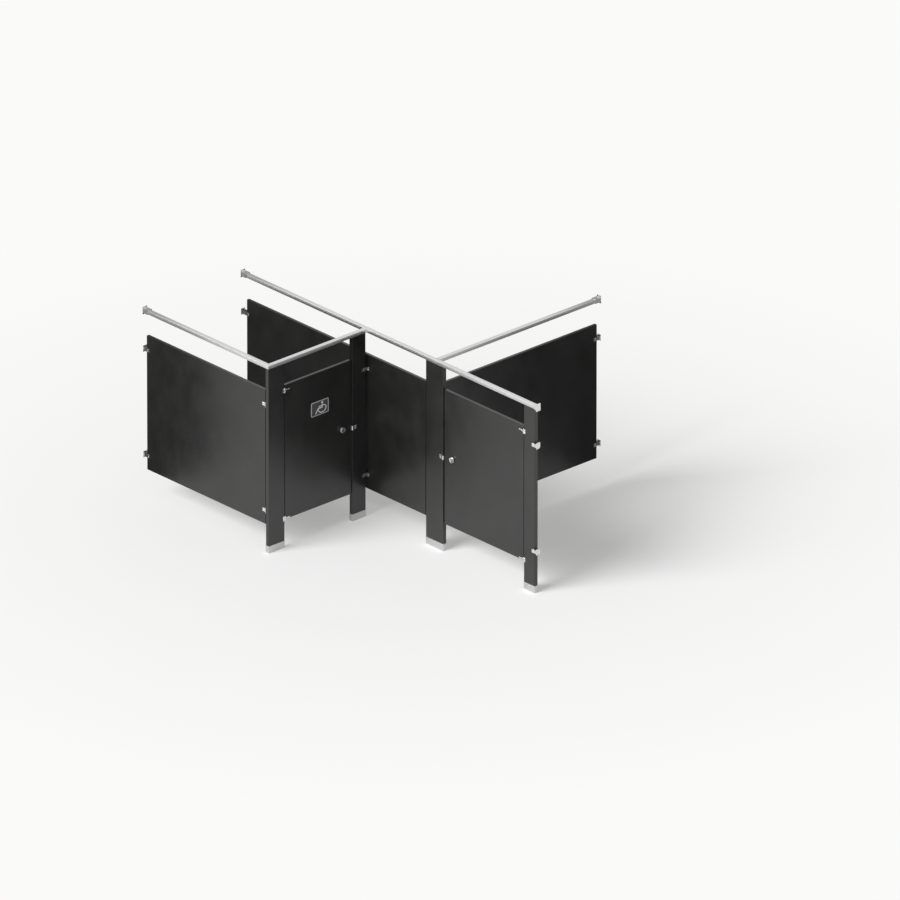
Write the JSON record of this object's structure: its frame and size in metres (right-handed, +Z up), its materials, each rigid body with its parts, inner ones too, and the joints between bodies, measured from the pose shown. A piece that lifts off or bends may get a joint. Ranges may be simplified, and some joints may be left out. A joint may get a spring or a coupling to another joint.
{
  "type": "toilet partition",
  "caption": "Floor-standing, overhead-braced toilet partition: black panels on shod pilasters under head rails, with out-swinging doors, slide latches and wall brackets.",
  "frame": {"origin": "middle of the footprint's box, on the floor", "axes": "+X along the main line, away from the wall that it starts at; +Y from the accessible compartment towards the corner bay; +Z up"},
  "size_m": [4.374, 3.5562, 2.0793],
  "materials": {
    "black_panel": "satin powder coat",
    "shoe_steel": "satin",
    "rail_metal": "satin anodised",
    "hardware": "satin",
    "fastener": "plain",
    "levelling_steel": "zinc plated",
    "rubber": "matte",
    "sign_plate": "satin",
    "sign_symbol": "satin"
  },
  "bodies": {
    "frame": {"panel_left": "black_panel", "panel_inner": "black_panel", "panel_front": "black_panel", "panel_divider": "black_panel", "pilaster_corner": "black_panel", "pilaster_latch": "black_panel", "pilaster_divider": "black_panel", "pilaster_end": "black_panel", "shoe_corner": "shoe_steel", "shoe_latch": "shoe_steel", "shoe_divider": "shoe_steel", "shoe_end": "shoe_steel", "headrail_left": "rail_metal", "headrail_front": "rail_metal", "headrail_main": "rail_metal", "headrail_divider": "rail_metal", "rail_socket_left": "hardware", "rail_socket_main_near": "hardware", "rail_socket_main_far": "hardware", "rail_socket_divider": "hardware", "rail_tee_clips": "hardware", "wall_brackets_left": "hardware", "wall_brackets_inner": "hardware", "wall_brackets_divider": "hardware", "wall_brackets_end": "hardware", "panel_brackets_corner": "hardware", "panel_brackets_front": "hardware", "panel_brackets_divider": "hardware", "corner_angles_front": "hardware", "corner_angles_rear": "hardware", "hinge_leaves_accessible": "hardware", "hinge_leaves_standard": "hardware", "keeper_accessible": "hardware", "keeper_standard": "hardware", "bracket_bolts": "fastener", "bracket_screws": "fastener", "rail_screws": "fastener", "shoe_screws": "fastener", "hinge_leaf_screws": "fastener", "keeper_bolts": "fastener", "hinge_pins": "fastener", "leveling_bases": "levelling_steel", "leveling_nuts": "levelling_steel", "door_bumpers": "rubber"},
    "door_accessible": {"door_accessible": "black_panel", "hinge_straps_accessible": "hardware", "door_knob_accessible": "hardware", "latch_case_accessible": "hardware", "coat_hook_accessible": "hardware", "door_screws_accessible": "fastener", "sign_plate": "sign_plate", "sign_symbol": "sign_symbol"},
    "latch_accessible": {"latch_bolt_accessible": "hardware"},
    "door_standard": {"door_standard": "black_panel", "hinge_straps_standard": "hardware", "door_knob_standard": "hardware", "latch_case_standard": "hardware", "coat_hook_standard": "hardware", "door_screws_standard": "fastener"},
    "latch_standard": {"latch_bolt_standard": "hardware"}
  },
  "joints": [
    {"name": "accessible_door_swing", "type": "hinge", "parent": "frame", "child": "door_accessible", "pos_m": [-0.323, -1.55185, 1.02], "axis": [0, 0, -1], "range_deg": [0, 110]},
    {"name": "accessible_latch_slide", "type": "slide", "parent": "door_accessible", "child": "latch_accessible", "axis": [0, 1, 0], "range_m": [0, 0.035]},
    {"name": "standard_door_swing", "type": "hinge", "parent": "frame", "child": "door_standard", "pos_m": [1.994, -0.45185, 1.02], "axis": [0, 0, 1], "range_deg": [0, 110]},
    {"name": "standard_latch_slide", "type": "slide", "parent": "door_standard", "child": "latch_standard", "axis": [-1, 0, 0], "range_m": [0, 0.035]}
  ]
}
